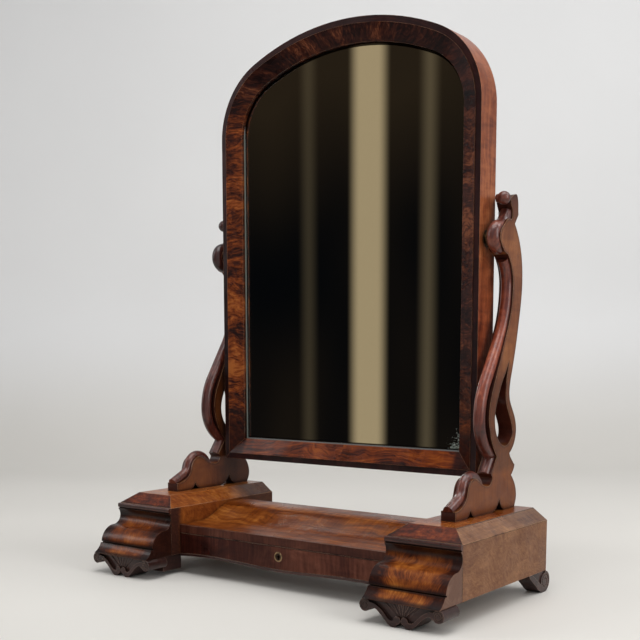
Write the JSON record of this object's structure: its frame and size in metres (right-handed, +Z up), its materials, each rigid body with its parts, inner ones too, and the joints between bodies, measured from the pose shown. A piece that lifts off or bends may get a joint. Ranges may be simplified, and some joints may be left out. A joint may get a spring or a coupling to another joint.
{
  "type": "dressing table mirror",
  "caption": "Arched mirror that swings between pierced scroll uprights, on two plinths with ogee fronts joined by a moulded platform with a drawer.",
  "frame": {"origin": "on the floor, under the centre of the bounding box", "axes": "+Z up, the glass and the drawer face -Y, +X runs from the left plinth to the right one as seen from the front"},
  "size_m": [0.689, 0.34, 0.8995],
  "materials": {
    "mahogany": "polished",
    "figured_veneer": "polished",
    "dark_mahogany": "polished",
    "faded_mahogany": "satin",
    "pine": "matte",
    "silvered_glass": "mirror",
    "brass": "polished",
    "lock_steel": "brushed"
  },
  "bodies": {
    "base": {"apron_rail": "dark_mahogany", "drawer_runner_left": "pine", "drawer_runner_right": "pine", "foot_bead_left": "mahogany", "foot_bead_right": "mahogany", "front_foot_left": "dark_mahogany", "front_foot_right": "dark_mahogany", "glue_block_left": "dark_mahogany", "glue_block_right": "dark_mahogany", "head_ball_left": "mahogany", "head_ball_right": "mahogany", "head_bead_left": "mahogany", "head_bead_right": "mahogany", "lip_moulding_left": "dark_mahogany", "lip_moulding_right": "dark_mahogany", "ogee_block_left": "figured_veneer", "ogee_block_right": "figured_veneer", "platform_back_rail": "pine", "platform_fascia": "dark_mahogany", "platform_top": "figured_veneer", "plinth_box_left": "faded_mahogany", "plinth_box_right": "faded_mahogany", "plinth_floor_left": "pine", "plinth_floor_right": "pine", "plinth_top_left": "figured_veneer", "plinth_top_right": "figured_veneer", "rear_foot_left": "dark_mahogany", "rear_foot_right": "dark_mahogany", "scroll_bead_left": "mahogany", "scroll_bead_right": "mahogany", "swivel_pin_left": "brass", "swivel_pin_right": "brass", "upright_left": "mahogany", "upright_right": "mahogany"},
    "drawer": {"drawer_back": "pine", "drawer_bottom": "pine", "drawer_front": "figured_veneer", "drawer_lock": "lock_steel", "drawer_side_left": "pine", "drawer_side_right": "pine", "escutcheon": "brass"},
    "mirror": {"backboard": "pine", "frame_core_arch": "mahogany", "frame_core_rail": "mahogany", "frame_facing_arch": "figured_veneer", "frame_facing_rail": "figured_veneer", "glass_packing": "pine", "mirror_glass": "silvered_glass", "swivel_socket_left": "brass", "swivel_socket_right": "brass"}
  },
  "joints": [
    {"name": "mirror_tilt", "type": "hinge", "parent": "base", "child": "mirror", "pos_m": [0, 0.098, 0.5415], "axis": [1, 0, 0], "continuous": true},
    {"name": "drawer_slide", "type": "slide", "parent": "base", "child": "drawer", "axis": [0, -1, 0], "range_m": [0, 0.11]}
  ]
}
